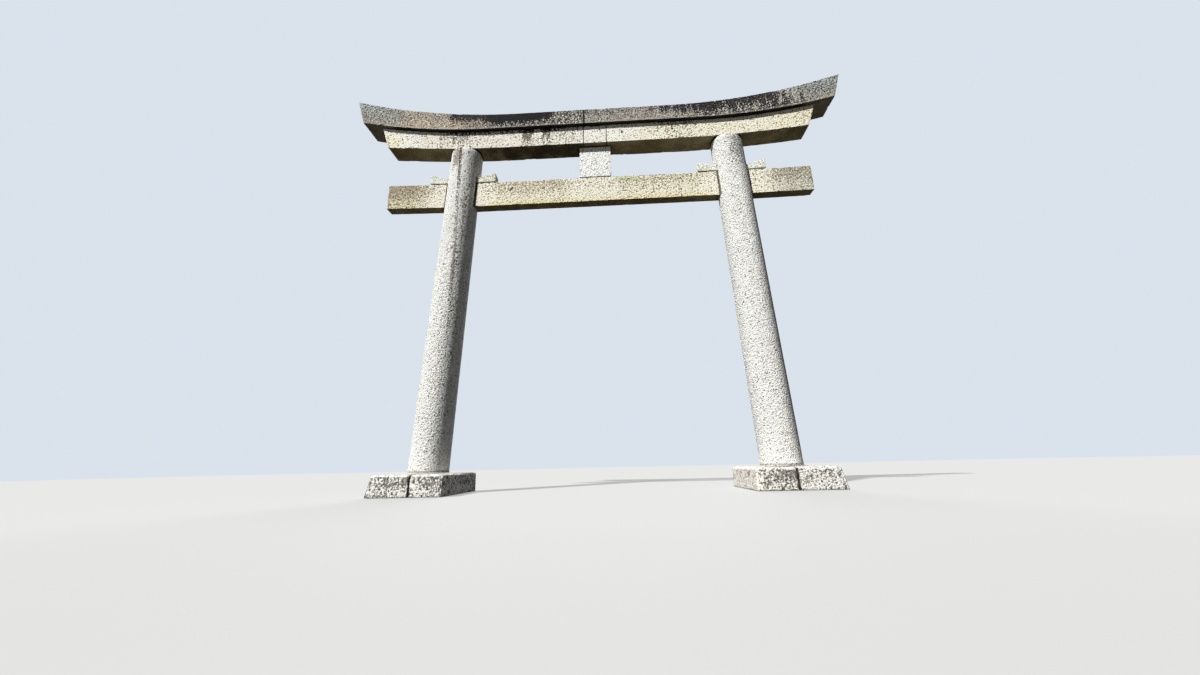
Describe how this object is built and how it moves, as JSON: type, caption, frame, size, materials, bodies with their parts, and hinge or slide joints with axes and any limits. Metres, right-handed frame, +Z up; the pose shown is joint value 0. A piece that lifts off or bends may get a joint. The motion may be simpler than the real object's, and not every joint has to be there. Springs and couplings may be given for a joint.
{
  "type": "torii gate",
  "caption": "Weathered granite torii gate: leaning round columns on split foundation stones, a wedged tie beam, a centre strut and a swept double lintel.",
  "frame": {"origin": "on the lowest ground, in the middle between the two columns", "axes": "+X along the lintels to the right as seen from the front, +Y through the passage to the back, +Z up"},
  "size_m": [11.1066, 1.8808, 8.9096],
  "materials": {
    "base_granite": "rough-hewn, rounded and weathered",
    "bed_mortar": "trowelled lime mortar",
    "column_granite": "finely dressed, speckled",
    "tie_granite": "dressed, yellowed and worn along its lower edges",
    "wedge_granite": "dressed, with lichen",
    "strut_granite": "dressed",
    "lintel_granite": "dressed, streaked below the cap",
    "cap_granite": "weathered, with dark growth on its face"
  },
  "bodies": {
    "root": {"base_left_inner": "base_granite", "base_left_outer": "base_granite", "base_right_inner": "base_granite", "base_right_outer": "base_granite", "bed_left": "bed_mortar", "bed_right": "bed_mortar", "column_left": "column_granite", "column_right": "column_granite", "tie_left": "tie_granite", "tie_middle": "tie_granite", "tie_right": "tie_granite", "wedge_left_inner": "wedge_granite", "wedge_left_outer": "wedge_granite", "wedge_right_inner": "wedge_granite", "wedge_right_outer": "wedge_granite", "centre_strut": "strut_granite", "lintel_left": "lintel_granite", "lintel_middle": "lintel_granite", "lintel_right": "lintel_granite", "cap_left": "cap_granite", "cap_right": "cap_granite"}
  },
  "joints": []
}
